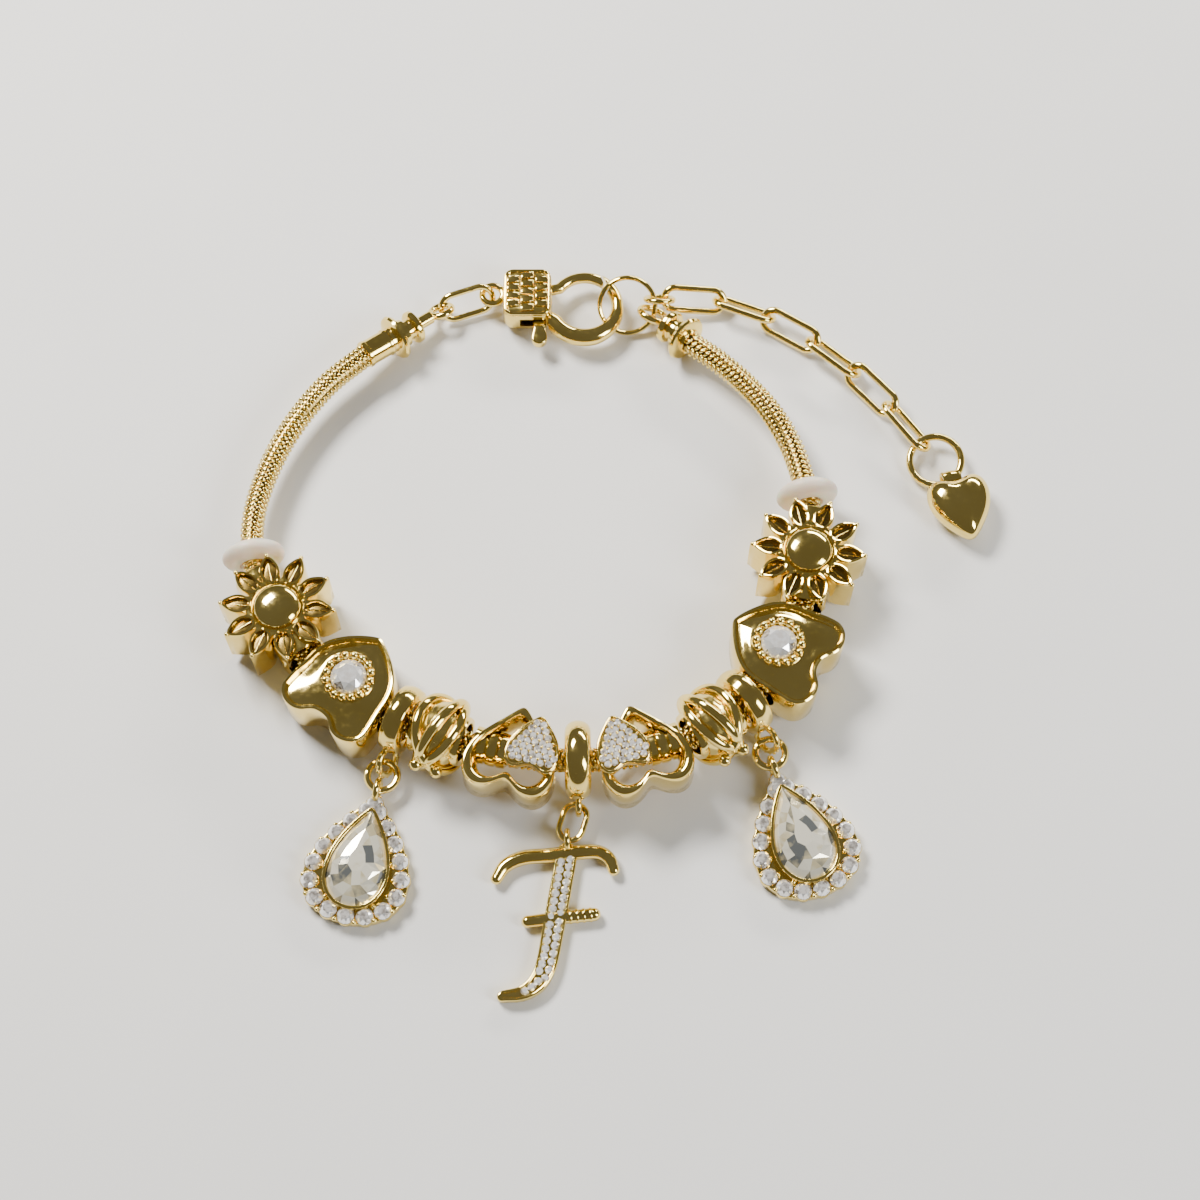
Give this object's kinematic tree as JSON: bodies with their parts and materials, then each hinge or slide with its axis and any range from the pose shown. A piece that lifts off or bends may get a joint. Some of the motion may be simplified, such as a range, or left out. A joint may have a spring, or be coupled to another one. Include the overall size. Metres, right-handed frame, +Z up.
{
  "type": "charm bracelet",
  "caption": "Gold snake-chain charm bracelet with bead charms, silicone stoppers, a lobster clasp, an extender chain and hanging drops, lying flat and closed.",
  "frame": {"origin": "bottom centre of the whole bracelet's box, on the surface it lies on", "axes": "+Z up, square to the surface; +Y from the beaded side to the clasp; +X towards the extender's heart"},
  "size_m": [0.0915, 0.0912, 0.0097],
  "materials": {
    "gold": "polished gold plate",
    "clear_stone": "cut and polished",
    "pear_stone": "cut and polished, pale champagne",
    "silicone": "translucent satin"
  },
  "bodies": {
    "bracelet": {"snake_chain": "gold", "bail_ring_center": "gold", "open_heart_left": "gold", "knot_bead_left": "gold", "bail_ring_left": "gold", "halo_heart_left": "gold", "sunflower_left": "gold", "end_cap_left": "gold", "drop_ring_left": "gold", "teardrop_left": "gold", "open_heart_right": "gold", "knot_bead_right": "gold", "bail_ring_right": "gold", "halo_heart_right": "gold", "sunflower_right": "gold", "end_cap_right": "gold", "drop_ring_right": "gold", "teardrop_right": "gold", "clasp_body": "gold", "clasp_link": "gold", "clasp_jump_ring": "gold", "extender_ring": "gold", "extender_link_1": "gold", "extender_link_2": "gold", "extender_link_3": "gold", "extender_link_4": "gold", "extender_link_5": "gold", "extender_link_6": "gold", "extender_end_ring": "gold", "heart_drop": "gold", "letter_ring": "gold", "letter_charm": "gold", "halo_stone_left": "clear_stone", "halo_stone_right": "clear_stone", "pear_stone_left": "pear_stone", "pear_stone_right": "pear_stone", "stopper_left": "silicone", "stopper_right": "silicone"},
    "clasp_lever": {"clasp_lever": "gold"}
  },
  "joints": [
    {"name": "clasp_lever_hinge", "type": "hinge", "parent": "bracelet", "child": "clasp_lever", "pos_m": [-0.00886, 0.04225, 0.0023], "axis": [0, 0, -1], "range_deg": [0, 16], "stiffness_Nm_per_rad": 0.02}
  ]
}
